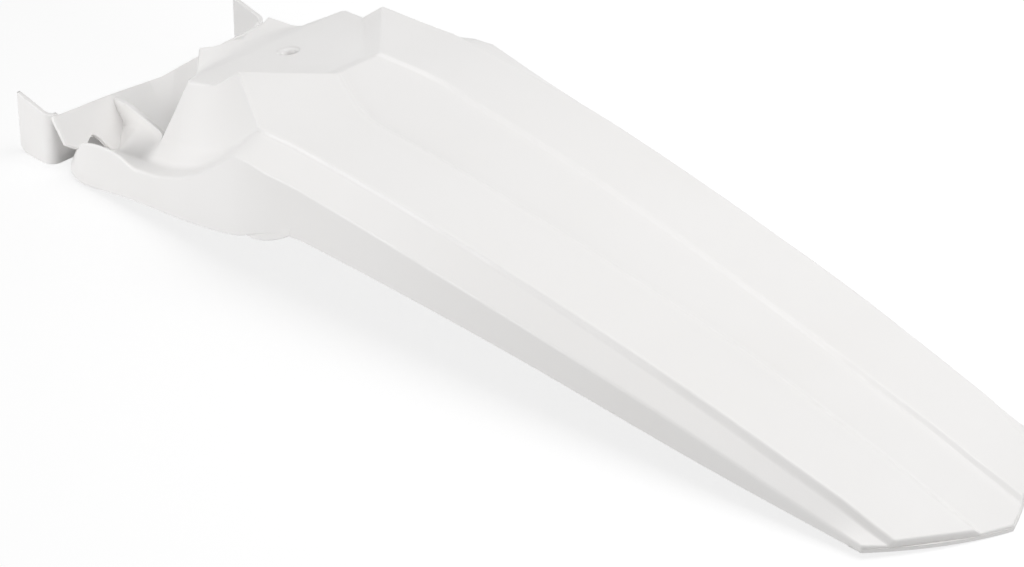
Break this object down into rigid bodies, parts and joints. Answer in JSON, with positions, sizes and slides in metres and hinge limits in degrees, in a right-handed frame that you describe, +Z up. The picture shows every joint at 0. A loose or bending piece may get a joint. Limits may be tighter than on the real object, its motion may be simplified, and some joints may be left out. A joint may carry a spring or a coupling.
{
  "type": "motorcycle rear fender",
  "caption": "Thin moulded motocross rear fender: long tapering blade with folded sides, forked seat notch with a bolt hole, and two front arms ending in an eared cross wall.",
  "frame": {"origin": "middle of the fender's length and width, on the floor it rests on", "axes": "+X towards the pointed tail, +Z up from the floor, +Y to the fender's side so that X, Y and Z are right-handed"},
  "size_m": [0.65, 0.1924, 0.098],
  "materials": {
    "white_plastic": "satin moulded polypropylene"
  },
  "bodies": {
    "root": {"rear_fender": "white_plastic"}
  },
  "joints": []
}
